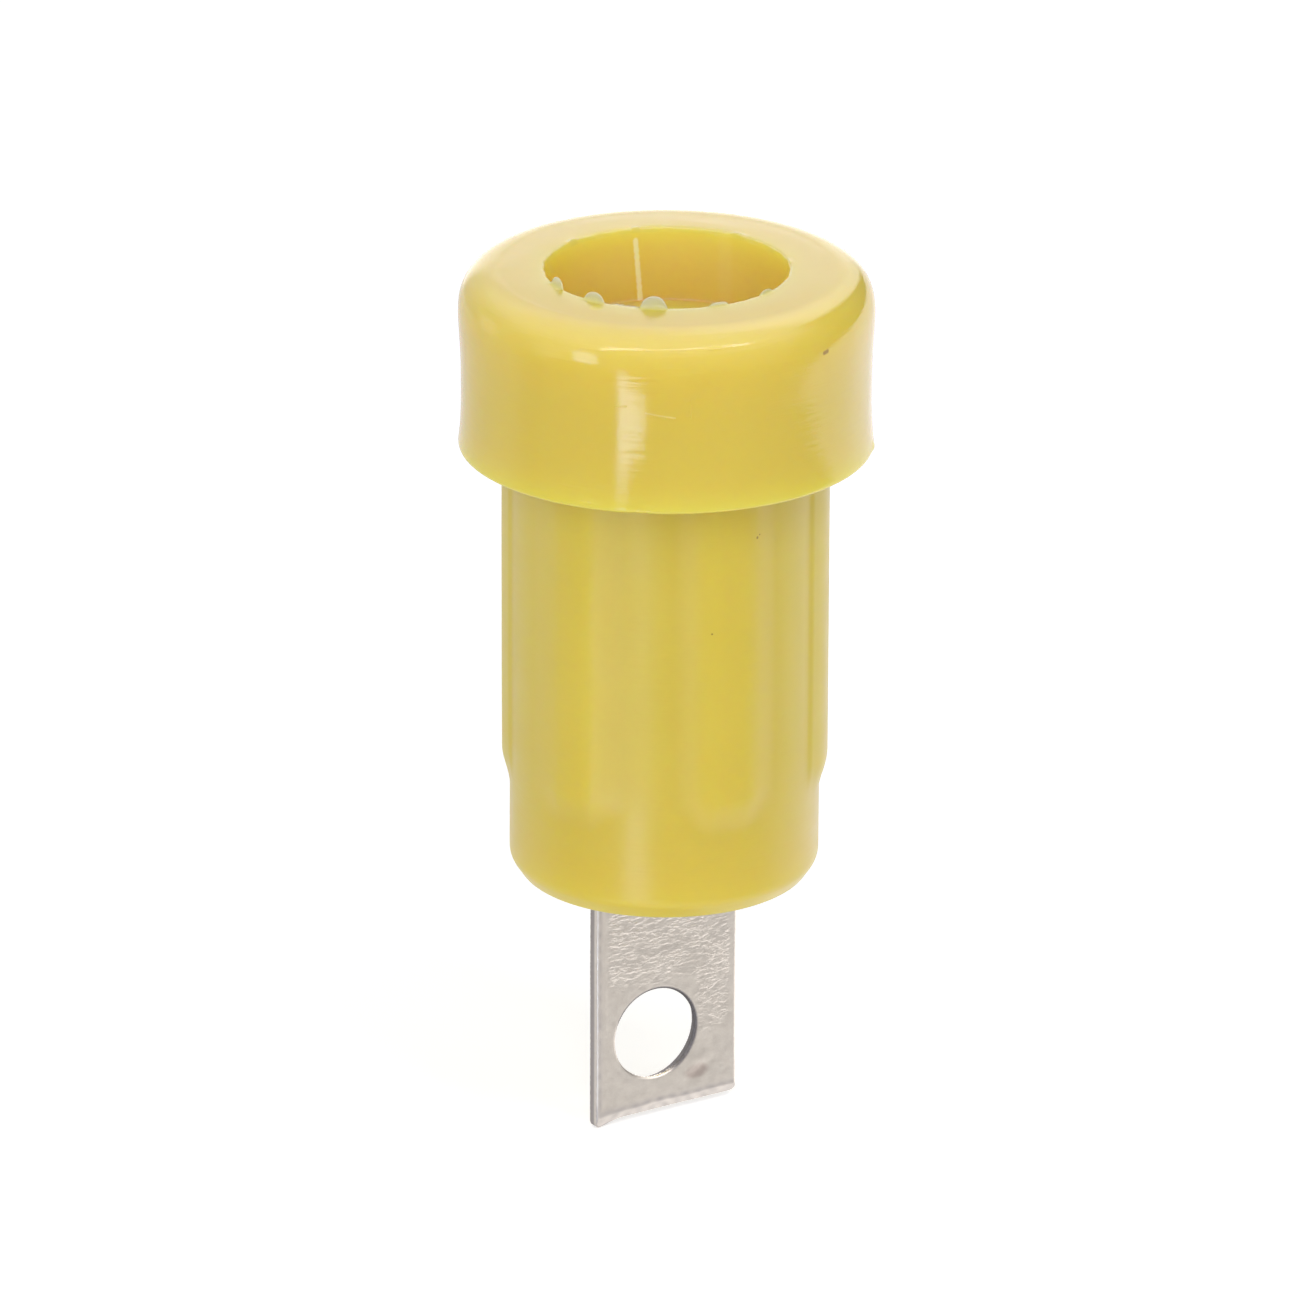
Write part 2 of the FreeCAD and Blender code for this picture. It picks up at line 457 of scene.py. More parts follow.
def closed_grid_faces(row_count, columns):
    """Quads of a grid that closes on itself both ways."""
    faces = []
    for i in range(row_count):
        n = (i + 1) % row_count
        for j in range(columns):
            m = (j + 1) % columns
            faces.append((i * columns + j, i * columns + m, n * columns + m, n * columns + j))
    return faces


points, marks = body_points()
body = build_object(
    "socket_body",
    points.reshape(-1, 3),
    closed_grid_faces(points.shape[0], column_count),
    marks,
)


# Contact: sheet with a front and a back skin, joined by walls along its edges
class Sheet:
    """Collects points and quads of the contact's skins."""

    def __init__(self):
        self.points = []
        # Shares on the points: darker cut walls with painted shade at the hole, lines of painted shade, and
        # crinkles
        self.marks = {"cut": [], "line": [], "crinkle": []}
        self.faces = []
        self.count = 0

    def grid(self, places, closed=False, **shares):
        """Skin over a grid of places, with the shares of its marks that aren't nought."""
        rows, columns = places.shape[:2]
        first = self.count
        self.points.append(places.reshape(-1, 3))
        for label, values in self.marks.items():
            values.append(np.broadcast_to(shares.get(label, 0.0), (rows, columns)).ravel())
        self.count += rows * columns
        last = columns if closed else columns - 1
        for i in range(rows - 1):
            for j in range(last):
                m = (j + 1) % columns
                a = first + i * columns
                b = a + columns
                self.faces.append((a + j, a + m, b + m, b + j))

    def wall(self, front, back, closed=False, burnished=0.28, torn_and_hole_shade=1.0):
        """Wall between two edges, burnished by the die at its front and torn behind that; a back level above
        1 adds painted shade.
        """
        down = np.linspace(0, 1, 9)[:, None]
        cut = 0.3 + (torn_and_hole_shade - 0.3) * smooth_step(down, burnished, burnished + 0.15)
        through = down[..., None]
        self.grid(front[None] * (1 - through) + back[None] * through, closed, cut=cut)


def across_places():
    """Places across the tab, closer together near its rolled edges."""
    half = tab_width / 2
    edge = half - 0.2
    near = half - np.array([0.2, 0.17, 0.14, 0.115, 0.09, 0.07, 0.053, 0.038, 0.025, 0.014, 0.005, 0])
    middle = np.linspace(-edge, edge, 117)
    return np.concatenate([-near[::-1], middle[1:-1], near])


def outline_distance(x, z):
    """Distance inwards from the tab's outline, whose lower corners are rounded."""
    side = tab_width / 2 - np.abs(x)
    end = z - tab_end_z
    c = tab_corner_round
    in_corner = (side < c) & (end < c)
    round_off = c - np.hypot(c - side, c - end)
    return np.where(in_corner, round_off, np.minimum(side, end))


def roll(distance, radius, drop=None):
    """How far a rolled edge has dropped, at a distance from the edge."""
    d = np.clip(distance, 0, radius)
    share = 1 - np.sqrt(np.maximum(1 - (1 - d / radius) ** 2, 0))
    return share * (radius if drop is None else drop)


def crinkle_end(x):
    """Height down to which forming crinkled the tab's face, lower on the right."""
    return -15.1 - 1.7 * smooth_step(x, 0.8, 1.1)


# Wrinkles: place across and down, half length, width, slope, bend and height
wrinkle_count = 900
wrinkles = []
for _ in range(wrinkle_count):
    x = dice.uniform(-1.75, 2.0)
    low = crinkle_end(x) + 0.3 * smooth_step(-x, 1.2, 1.7)
    wrinkles.append((
        x,
        low + (-11.7 - low) * dice.uniform(0, 1) ** 0.9,
        dice.uniform(0.03, 0.10),
        dice.uniform(0.013, 0.019),
        dice.uniform(-0.22, 0.10),
        dice.uniform(-1.6, 1.6),
        dice.choice((-1, 1, 1)) * dice.uniform(0.002, 0.0055),
    ))


def wrinkle_height(x, z):
    """Short crosswise wrinkles that forming left in the plated face."""
    total = np.zeros_like(x)
    for cx, cz, length, width, slope, bend, height in wrinkles:
        near = (np.abs(x - cx) < 2.2 * length) & (np.abs(z - cz) < 0.3)
        if not near.any():
            continue
        dx = x[near] - cx
        middle = cz + slope * dx + bend * dx**2 + 0.012 * np.sin(dx * 40 + cx * 90)
        total[near] += height * np.exp(-0.5 * (dx / length) ** 4) * bell(z[near], middle, width)
    return total * smooth_step(outline_distance(x, z), 0.1, 0.3)


def tab_bow(x, z):
    """Slow unevenness of the whole sheet, with a dent, the ridges beside it and a trough."""
    free = smooth_step(-z, 11.6, 12.6)
    bow = 0.008 * ripple(x * 1.1, z * 0.9, 5, 21)
    along = (x - dent_x) * 0.86 + (z - dent_z) * 0.5
    across = (z - dent_z) * 0.86 - (x - dent_x) * 0.5
    dent = 0.012 * bell(along, 0, 0.30) * bell(across, 0, 0.12)
    ridge = -0.006 * bell(across, 0.28, 0.14) * bell(along, -0.1, 0.5)
    edge_ridge = -0.006 * bell(x, -1.93, 0.05) * smooth_step(-z, 12.0, 13.0) * smooth_step(z, -16.8, -15.6)
    trough = 0.008 * bell(x, 0.12, 0.16) * smooth_step(z, -14.6, -13.9)
    return free * (bow + dent + ridge + edge_ridge + trough)


def tab_skins(x, z):
    """Front and back places of the flat tab, and where its front has lines of painted shade and crinkles."""
    d = outline_distance(x, z)
    from_hole = np.hypot(x - tab_hole_x, z - tab_hole_z) - hole_bore_radius
    free = smooth_step(-z, 10.6, 11.4)
    bow = tab_bow(x, z)

    # Front, with a bevel at the lower end and rolled edges along the sides and round the hole
    end = z - tab_end_z
    end_bevel = end_bevel_height + 0.02 * ripple(x * 3, 0 * x, 4, 57)
    end_drop = 0.10 * np.clip(1 - end / end_bevel, 0, 1) ** 1.25
    side_drop = free * roll(d, tab_edge_roll, 0.055)
    front_y = -sheet / 2 + bow - wrinkle_height(x, z)
    front_y = front_y + np.maximum(side_drop, end_drop) + roll(from_hole, tab_hole_roll)

    # Painted shade: dull dark lines along the lower end, round one corner and down the left edge
    wobble = 1 + 0.25 * ripple(x * 9, z * 9, 5, 51)
    line = 0.85 * bell(end, end_bevel + 0.03, 0.075) * smooth_step(d, 0.03, 0.08)
    line = np.maximum(line, 0.62 * smooth_step(-end, -0.26, -0.18))
    at_corner = smooth_step(-x, 1.5, 1.9) * smooth_step(-end, -0.7, -0.3)
    line = np.maximum(line, smooth_step(-d, -0.06, -0.02) * at_corner)
    line = np.maximum(line, 0.7 * bell(tab_width / 2 + x, 0.085, 0.05) * (end > end_bevel))
    line = np.clip(line * wobble, 0, 1.4)
    low = crinkle_end(x)
    crinkle = free * smooth_step(z, low - 0.3, low + 0.9) * smooth_step(-np.abs(x - 0.05), -2.0, -1.75)

    # Back, torn wider round the hole, and a burr that hangs from one corner
    back_y = sheet / 2 + bow - 0.35 * roll(d, 0.05) * free - 0.3 * roll(from_hole, 0.04)
    burr = corner_burr * smooth_step(-x, 1.3, 2.3) * smooth_step(-end, -0.5, 0)
    breakout = hole_breakout * smooth_step(-from_hole, -0.14, 0) / tab_hole_radius
    back_x = x + (x - tab_hole_x) * breakout
    back_z = z + (z - tab_hole_z) * breakout
    front = np.stack([x, front_y, z - burr], -1)
    back = np.stack([back_x, back_y, back_z - burr], -1)
    return front, back, line, crinkle


def tab_block(sheet_form, xs):
    """Lower part of the tab, a grid of rings from the hole out to the outline."""
    top = 2 * tab_hole_z - tab_end_z
    half = tab_width / 2
    bevel_z = tab_end_z + end_bevel_height
    down = np.concatenate([np.linspace(top, bevel_z, 86)[:-1], np.linspace(bevel_z, tab_end_z, 14)])

    # Outline of the block, with its two lower corners rounded
    edge = [(x, top) for x in xs[:-1]]
    edge += [(half, z) for z in down[:-1]]
    edge += [(x, tab_end_z) for x in xs[::-1][:-1]]
    edge += [(-half, z) for z in down[::-1][:-1]]
    edge = np.array(edge)
    c = tab_corner_round
    for sign in (-1, 1):
        cx, cz = sign * (half - c), tab_end_z + c
        inside = (edge[:, 0] * sign > cx * sign) & (edge[:, 1] < cz)
        off = edge[inside] - (cx, cz)
        edge[inside] = (cx, cz) + off / np.hypot(off[:, 0], off[:, 1])[:, None] * c

    # Rings along rays from the hole to the outline, closer together near both
    hole = np.array([tab_hole_x, tab_hole_z])
    ray = edge - hole
    ray = ray / np.hypot(ray[:, 0], ray[:, 1])[:, None]
    ring0 = hole + ray * hole_bore_radius
    length = np.hypot(*(edge - ring0).T)
    near_hole = [0, 0.01, 0.025, 0.045, 0.07, 0.1, 0.14]
    near_edge = [0.40, 0.36, 0.32, 0.28, 0.24, 0.2, 0.16, 0.12, 0.09, 0.065, 0.045, 0.028, 0.014, 0.005, 0]
    middle = length - near_edge[0] - near_hole[-1]
    reaches = [d + 0 * length for d in near_hole]
    reaches += [near_hole[-1] + middle * t for t in np.linspace(0, 1, 30)[1:-1]]
    reaches += [length - d for d in near_edge]
    rings = ring0 + ray * np.array(reaches)[..., None]
    front, back, line, crinkle = tab_skins(rings[..., 0], rings[..., 1])

    # The plain back takes fewer rings than the front, and painted shade darkens the hole's wall and its rim,
    # the rim most on one side
    few = [0, 2, 6] + list(range(9, len(rings) - 1, 4)) + [len(rings) - 1]
    off_x, off_z = rings[..., 0] - tab_hole_x, rings[..., 1] - tab_hole_z
    torn_and_hole_shade = smooth_step(hole_bore_radius - np.hypot(off_x, off_z), -0.11, -0.04)
    torn_and_hole_shade = 1.45 * torn_and_hole_shade * smooth_step(off_x * 0.7 + off_z * 0.7, -0.8, -0.2)
    sheet_form.grid(front, closed=True, cut=torn_and_hole_shade, line=line, crinkle=crinkle)
    sheet_form.grid(back[few], closed=True)
    sheet_form.wall(front[0], back[0], closed=True, burnished=-0.15, torn_and_hole_shade=1.5)
    outer = np.arange(len(xs) - 1, len(edge) + 1) % len(edge)
    sheet_form.wall(front[-1][outer], back[-1][outer])
    return top


def neck_skins(xs, travel):
    """Front and back places across the neck, at a share of the way down to the flat tab."""
    z = neck_start_z - travel * (neck_start_z - neck_end_z)
    rolled_share = math.cos(math.pi / 2 * travel)
    slope = math.pi / 2 * sleeve_middle_radius / (neck_start_z - neck_end_z) * math.sin(math.pi * travel)
    half_through = sheet / 2 * math.hypot(1, slope)
    roll_radius = sleeve_middle_radius / rolled_share
    middle_y = sleeve_middle_radius * rolled_share**2
    angle = xs / roll_radius
    skins = []
    for outwards in (-half_through, half_through):
        reach = roll_radius + outwards
        y = middle_y + reach * np.cos(angle) - roll_radius
        skins.append(np.stack([reach * np.sin(angle), y, z + 0 * y], -1))
    return skins


def build_contact():
    """Contact in one mesh: tab, neck and split sleeve."""
    form = Sheet()
    xs = across_places()
    top = tab_block(form, xs)

    zs = np.concatenate([np.linspace(top, -11.4, 104), np.linspace(-11.4, neck_end_z, 13)[1:]])
    x, z = np.meshgrid(xs, zs)
    front, back, line, crinkle = tab_skins(x, z)
    for t in np.linspace(1, 0, 15)[1:]:
        f, b = neck_skins(xs, t)
        front = np.concatenate([front, f[None]])
        back = np.concatenate([back, b[None]])
    inner = plug_bore_radius
    outer = plug_bore_radius + sheet
    half_angle = tab_width / 2 / sleeve_middle_radius

    def ring(angles, z, r):
        return np.stack([r * np.sin(angles), r * np.cos(angles), z + 0 * angles], -1)

    neck_angles = xs / sleeve_middle_radius
    front = np.concatenate([front, ring(neck_angles, sleeve_end_z, inner)[None]])
    back = np.concatenate([back, ring(neck_angles, sleeve_end_z, outer)[None]])
    beyond_tab = np.zeros((len(front) - len(line), len(xs)))
    line = np.concatenate([line, beyond_tab])
    crinkle = np.concatenate([crinkle, beyond_tab])
    form.grid(front, line=line, crinkle=crinkle)
    form.grid(back)
    form.wall(front[:, 0], back[:, 0])
    form.wall(front[:, -1], back[:, -1])

    seam_angle = math.pi - sleeve_seam / 2 / sleeve_middle_radius
    beyond = np.linspace(half_angle, seam_angle, seam_columns)
    angles = np.concatenate([-beyond[::-1], neck_angles[1:-1], beyond])
    wall_heights = np.linspace(sleeve_end_z, sleeve_top_z - sleeve_lead_in, sleeve_rows)
    heights = np.concatenate([wall_heights, [sleeve_top_z - 0.08, sleeve_top_z]])
    inner_radii = np.concatenate([np.full(sleeve_rows, inner), [inner + 0.07, inner + sleeve_lead_in]])
    front = np.array([ring(angles, z, r) for z, r in zip(heights, inner_radii)])
    outer_radii = np.concatenate([np.full(sleeve_rows + 1, outer), [outer - 0.01]])
    back = np.array([ring(angles, z, r) for z, r in zip(heights, outer_radii)])
    form.grid(front)
    form.grid(back)
    form.wall(front[-1], back[-1])
    form.wall(front[:, 0], back[:, 0])
    form.wall(front[:, -1], back[:, -1])
    form.wall(front[0][:seam_columns], back[0][:seam_columns])
    form.wall(front[0][-seam_columns:], back[0][-seam_columns:])
    marks = {label: np.concatenate(values) for label, values in form.marks.items()}
    return build_object("socket_contact", np.concatenate(form.points), form.faces, marks)


contact = build_contact()


# Node helpers, which add their nodes to the tree that their inputs come from
def is_output(value):
    """Whether a value is a node's output rather than a plain one."""
    return isinstance(value, bpy.types.NodeSocket)


def add_node(kind, *values):
    """New node in the tree of the first output among the values."""
    return next(v.id_data for v in values if is_output(v)).nodes.new(kind)


def connect(target, value):
    """Link a node's output to an input, or set the input to a plain value."""
    if is_output(value):
        target.id_data.links.new(value, target)
    else:
        target.default_value = value


def calc(operation, *values):
    """Sum on values, each a plain one or a node's output."""
    node = add_node("ShaderNodeMath", *values)
    node.operation = operation
    for target, value in zip(node.inputs, values):
        connect(target, value)
    return node.outputs[0]


def vector_calc(operation, a, b=None, scale=None):
    """Sum on vectors, whose result is a value for lengths, distances and dot products."""
    node = add_node("ShaderNodeVectorMath", a, b, scale)
    node.operation = operation
    for target, value in ((0, a), (1, b), ("Scale", scale)):
        if value is not None:
            connect(node.inputs[target], value)
    return node.outputs["Value"] if operation in ("DOT_PRODUCT", "LENGTH", "DISTANCE") else node.outputs[0]


def ease(value, low, high, to_low=0.0, to_high=1.0):
    """Smooth change from one value to another as the input passes through a range."""
    node = add_node("ShaderNodeMapRange", value)
    node.interpolation_type = "SMOOTHSTEP"
    for target, number in zip(node.inputs[:5], (value, low, high, to_low, to_high)):
        connect(target, number)
    return node.outputs[0]


def fade(value, low, high):
    """Smooth fall from 1 to 0 as the input passes through a range."""
    return ease(value, low, high, 1.0, 0.0)


def rest_of(share):
    """What a share leaves of 1."""
    return calc("SUBTRACT", 1.0, share)


def product(*values):
    """All values multiplied together."""
    return reduce(lambda a, b: calc("MULTIPLY", a, b), values)


def brighter(*values):
    """The largest of the values."""
    return reduce(lambda a, b: calc("MAXIMUM", a, b), values)


def noise(place, scale, detail=2.0, rough=0.5, stretch=None):
    """Noise over the object, with its scale in features per millimetre."""
    if stretch is not None:
        place = vector_calc("MULTIPLY", place, stretch)
    node = add_node("ShaderNodeTexNoise", place)
    for name, value in (("Vector", place), ("Scale", scale), ("Detail", detail), ("Roughness", rough)):
        connect(node.inputs[name], value)
    return node.outputs["Fac"]


def mix_colour(share, a, b):
    """Colour a turning into colour b as the share rises."""
    node = add_node("ShaderNodeMix", share)
    node.data_type = "RGBA"
    connect(node.inputs["Factor"], share)
    for name, value in (("A", a), ("B", b)):
        connect([i for i in node.inputs if i.name == name and i.type == "RGBA"][0], value)
    return [o for o in node.outputs if o.type == "RGBA"][0]


def mix_value(share, a, b):
    """Value a turning into value b as the share rises."""
    return calc("MULTIPLY_ADD", a, rest_of(share), product(share, b))


def new_material(name):
    """Material with a Principled shader, and the place on the object in millimetres."""
    material = bpy.data.materials.new(name)
    material.use_nodes = True
    tree = material.node_tree
    place = tree.nodes.new("ShaderNodeTexCoord").outputs["Object"]
    return material, tree, tree.nodes["Principled BSDF"], vector_calc("SCALE", place, scale=1000.0)


def share_mark(tree, name):
    """Share that the mesh holds on its points under a name."""
    node = tree.nodes.new("ShaderNodeAttribute")
    node.attribute_name = name
    return node.outputs["Fac"]


def on_body(radius, seen_bearing, z):
    """Place on the body, at a bearing from the camera's side."""
    angle = math.radians(seen_bearing + view_bearing)
    return (radius * math.sin(angle), -radius * math.cos(angle), z)


def spot(place, centre, radius):
    """Soft round spot at a place on the surface."""
    return fade(vector_calc("DISTANCE", place, centre), radius * 0.5, radius)


def stroke(place, start, end, width):
    """Soft straight stroke between two places on the body."""
    start = on_body(*start)
    way = [e - s for s, e in zip(start, on_body(*end))]
    length2 = sum(v * v for v in way)
    off = vector_calc("SUBTRACT", place, start)
    along = vector_calc("DOT_PRODUCT", off, tuple(v / length2 for v in way))
    along = calc("MAXIMUM", calc("MINIMUM", along, 1.0), 0.0)
    nearest = vector_calc("SCALE", tuple(way), scale=along)
    return fade(vector_calc("DISTANCE", off, nearest), width * 0.3, width)


# Colours, linear. Nylon with its marks, then tin with its marks
nylon_light = (0.685, 0.548, 0.083, 1)
nylon_deep = (0.655, 0.518, 0.074, 1)
# Painted light: a paler nylon for the recess's wall and ledge, standing in for the light that reaches in
# there
recess_painted_light_colour = (0.77, 0.605, 0.125, 1)
film_colour = (0.66, 0.56, 0.20, 1)
flash_colour = (0.62, 0.52, 0.15, 1)
deep_spot_colour = (0.80, 0.66, 0.02, 1)
speck_colour = (0.20, 0.09, 0.015, 1)
scrape_colour = (0.82, 0.74, 0.42, 1)
# Painted highlight along the groove down the recess's far wall
painted_streak_highlight_colour = (0.95, 0.90, 0.68, 1)
# A paler band down the far right of the recess's wall
far_wall_band_colour = (0.86, 0.74, 0.34, 1)
tin_light = (0.84, 0.81, 0.705, 1)
tin_dark = (0.74, 0.705, 0.60, 1)
crumpled_colour = (0.66, 0.63, 0.545, 1)
mottle_colour = (0.66, 0.61, 0.52, 1)
# Painted shade in the dent below the tab's hole
dent_painted_shade_colour = (0.50, 0.42, 0.36, 1)
dent_shade_flatness = 1.8
cut_colour = (0.31, 0.297, 0.28, 1)
# Painted shade on the rim and wall of the tab's hole
hole_painted_shade_colour = (0.15, 0.145, 0.14, 1)
# Painted shade in lines along the tab's lower end, one corner and left edge
line_colour = (0.40, 0.385, 0.37, 1)


def stained(colour, share, amount, stain):
    """Colour with a stain laid over it, at an amount of the share."""
    return mix_colour(product(share, amount), colour, stain)


def add_relief(shader, *waves):
    """Bump from waves, each with its height in millimetres."""
    height = 0.0
    for wave, size in waves:
        height = calc("MULTIPLY_ADD", wave, size, height)
    bump = add_node("ShaderNodeBump", height)
    for name, value in (("Strength", 1.0), ("Distance", MM), ("Height", height)):
        connect(bump.inputs[name], value)
    connect(shader.inputs["Normal"], bump.outputs[0])


def nylon():
    """Yellow moulded nylon: its colour and stains, painted light in the recess, a painted highlight down its
    far wall, its polish, and its fine relief.
    """
    material, tree, shader, place = new_material("moulded_nylon")
    height_above = vector_calc("DOT_PRODUCT", place, (0, 0, 1))
    from_axis = vector_calc("LENGTH", vector_calc("MULTIPLY", place, (1, 1, 0)))
    colour = mix_colour(noise(place, 0.35, 3.0), nylon_light, nylon_deep)
    # Painted light: the recess's wall and ledge take the paler colour
    recess_painted_light = product(fade(from_axis, 3.16, 3.2), ease(height_above, 2.3, 2.7))
    colour = mix_colour(recess_painted_light, colour, recess_painted_light_colour)
    specks = brighter(
        stroke(place, (5.37, 48.4, 3.755), (5.37, 49.7, 3.77), 0.08),
        spot(place, on_body(4.205, 34.0, -1.31), 0.05),
        spot(place, on_body(4.184, 35.2, -1.25), 0.03),
        spot(place, on_body(4.242, 16.5, -3.75), 0.035),
    )
    for share, amount, stain in (
        (share_mark(tree, "film"), 0.35, film_colour),
        (share_mark(tree, "flash"), 0.7, flash_colour),
        (spot(place, on_body(3.62, -29.7, head_height), 0.22), 0.5, deep_spot_colour),
        (specks, 0.7, speck_colour),
        (stroke(place, (5.357, -5.6, 2.74), (5.352, 2.4, 2.62), 0.03), 0.35, scrape_colour),
        # painted highlight along the groove down the recess's far wall
        (ease(share_mark(tree, "groove_and_highlight"), 0.15, 0.6), 0.6, painted_streak_highlight_colour),
        # paler band down the far right of the recess's wall
        (stroke(place, (3.15, 151.3, 4.5), (3.15, 151.3, 2.9), 0.3), 0.12, far_wall_band_colour),
    ):
        colour = stained(colour, share, amount, stain)

    # Polished head, a duller ring round the recess, and a barrel that is more matt higher up
    on_head = ease(height_above, -0.05, 0.05)
    roughness = mix_value(on_head, ease(height_above, -9.5, -7.5, 0.297, 0.37), 0.10)
    near_recess = fade(from_axis, 3.3, 4.6)
    roughness = calc("MULTIPLY_ADD", product(on_head, near_recess), 0.13, roughness)
    haze = ease(noise(place, 1.6, 3.0), 0.3, 0.7, -0.015, 0.03)
    roughness = calc("ADD", roughness, haze)
    for name, value in (
        ("Base Color", colour),
        ("Roughness", roughness),
        ("IOR", 1.53),
        ("Subsurface Weight", 1.0),
        ("Subsurface Radius", (1.0, 0.72, 0.2)),
        ("Subsurface Scale", 0.0035),
    ):
        connect(shader.inputs[name], value)

    # Relief: grain, marks of drawing from the mould, slow swell and scratches
    grain = noise(place, 5.0, 3.0, 0.55)
    drawn = noise(place, 1.0, 3.0, 0.65, stretch=(0.6, 0.6, 8.0))
    swell = noise(place, 0.8, 1.0)
    scratches = brighter(
        stroke(place, (5.356, -5.0, 2.70), (5.351, 2.4, 2.59), 0.025),
        stroke(place, (5.371, 6.8, 3.13), (5.35, 6.8, 2.62), 0.02),
        stroke(place, (5.361, -14.0, 2.86), (5.363, -11.0, 2.90), 0.03),
    )
    add_relief(shader, (grain, 0.0006), (drawn, 0.007), (swell, 0.006), (scratches, 0.009))
    return material


def tinned_sheet():
    """Tin-plated sheet: mottled, crumpled where it was formed, dark where it was cut, with painted shade
    round the hole, along the edges and in the dent.
    """
    material, tree, shader, place = new_material("tinned_brass")
    crinkle = share_mark(tree, "crinkle")
    colour = mix_colour(noise(place, 0.9, 4.0, 0.6), tin_light, tin_dark)
    colour = stained(colour, crinkle, 0.5, crumpled_colour)
    mottle = ease(noise(place, 5.0, 4.0, 0.65), 0.35, 0.65, 0.0, 0.28)
    colour = mix_colour(mottle, colour, mottle_colour)
    # Painted shade: a blotchy dark patch laid over the dent
    flattened = vector_calc("MULTIPLY", place, (1.0, 1.0, dent_shade_flatness))
    dent_shade = spot(flattened, (0.93, -0.19, dent_z * dent_shade_flatness), 0.48)
    dent_shade = product(dent_shade, ease(noise(place, 3.0, 3.0), 0.3, 0.7, 0.35, 0.7))
    colour = mix_colour(dent_shade, colour, dent_painted_shade_colour)
    # Cut walls are darker; levels above 1 paint shade on the hole's rim and wall
    cut = share_mark(tree, "cut")
    colour = stained(colour, cut, 0.9, cut_colour)
    colour = mix_colour(ease(cut, 1.0, 1.6), colour, hole_painted_shade_colour)
    # Painted shade: dark lines along the tab's edges
    line = share_mark(tree, "line")
    colour = stained(colour, line, 0.7, line_colour)
    haze = ease(noise(place, 4.0, 4.0, 0.6), 0.3, 0.7, 0.30, 0.40)
    roughness = calc("MULTIPLY_ADD", brighter(cut, line), 0.25, haze)
    for name, value in (("Base Color", colour), ("Metallic", 1.0), ("Roughness", roughness)):
        connect(shader.inputs[name], value)

    # Relief: fine grain, slow dimples, and creases where the face is crumpled
    fine = noise(place, 14.0, 3.0, 0.6, stretch=(0.7, 1.0, 1.6))
    dimple = noise(place, 3.0, 2.0)
    crease = ease(noise(place, 4.2, 2.0, 0.55, stretch=(1.0, 1.0, 2.5)), 0.38, 0.66)
    broken = ease(noise(place, 2.0, 1.0), 0.3, 0.6, 0.35, 1.0)
    creases = product(crease, product(ease(crinkle, 0.0, 1.0), broken))
    add_relief(shader, (fine, 0.003), (dimple, 0.004), (creases, 0.011))
    return material


body.data.materials.append(nylon())
contact.data.materials.append(tinned_sheet())
for piece, node, slot_name in (
    (body, "insulating_body", "moulded_nylon"),
    (contact, "contact", "tinned_brass"),
):
    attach(piece, "root")
    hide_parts(node)


# Camera
turn_angle = math.radians(view_bearing)
right = Vector((math.cos(turn_angle), math.sin(turn_angle), 0))
away = Vector((-math.sin(turn_angle), math.cos(turn_angle), 0))
up = Vector((0, 0, 1))


def from_view(x, y, z):
    """Direction or place given as right, away and up in the photograph's view."""
    return right * x + away * y + up * z


def place_camera():
    """Camera of the photograph, fitted to the object's outline."""
    rise = math.radians(view_elevation)
    back = from_view(0, -math.cos(rise), math.sin(rise))
    above = from_view(0, math.sin(rise), math.cos(rise))
    tip = math.radians(view_roll)
    across = right * math.cos(tip) + above * math.sin(tip)
    above = above * math.cos(tip) - right * math.sin(tip)
    data = bpy.data.cameras.new("camera")
    data.sensor_width = 36.0
    data.lens = focal_pixels / photo_side * data.sensor_width
    data.clip_start = 0.01
    data.clip_end = 20.0
    camera = bpy.data.objects.new("camera", data)
    bpy.context.scene.collection.objects.link(camera)
    place = (from_view(aim_right, 0, aim_up) + back * view_distance) * MM
    pose = Matrix((across, above, back)).transposed().to_4x4()
    pose.translation = place
    camera.matrix_world = pose
    bpy.context.scene.camera = camera


place_camera()


# Floor, in metres, lifted by a little light of its own to near white
floor_side = 1.2
floor_lift = 0.40


def make_floor():
    """Pale floor that the tab's end stands on, left out of reflections."""
    z = (tab_end_z - corner_burr) * MM
    points = [(x * floor_side, y * floor_side, z) for x, y in ((-1, -1), (1, -1), (1, 1), (-1, 1))]
    mesh = bpy.data.meshes.new("floor")
    mesh.from_pydata(points, [], [(0, 1, 2, 3)])
    floor = bpy.data.objects.new("floor", mesh)
    bpy.context.scene.collection.objects.link(floor)
    material = bpy.data.materials.new("pale_floor")
    material.use_nodes = True
    tree = material.node_tree
    shader = tree.nodes["Principled BSDF"]
    seen = tree.nodes.new("ShaderNodeLightPath").outputs["Is Camera Ray"]
    for name, value in (
        ("Base Color", (0.86, 0.86, 0.86, 1)),
        ("Roughness", 0.9),
        ("Specular IOR Level", 0.0),
        ("Emission Color", (1, 1, 1, 1)),
        ("Emission Strength", product(seen, floor_lift)),
    ):
        connect(shader.inputs[name], value)
    mesh.materials.append(material)
    floor.visible_glossy = False
    floor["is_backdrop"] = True


make_floor()


# World: white to the camera, a studio to glossy surfaces, and plain light otherwise
plain_level = 0.60
room_level = 0.56
left_wall_level = 0.40
glow_level = 0.45
patch_level = 0.6
panel_level = 0.35
screen_depth = 0.82
screen_side_depth = 0.4
backdrop_level = 2.0
strip_level = 7.5
lit_floor_level = 1.68
near_floor_level = 0.5
open_floor_level = 1.5
lamp_foot_level = 6.0
lamp_neck_level = 3.3
small_lamp_level = 4.5
studio_tint = (1.0, 0.955, 1.0, 1)
lamp_tint = (0.68, 0.78, 1.08, 1)


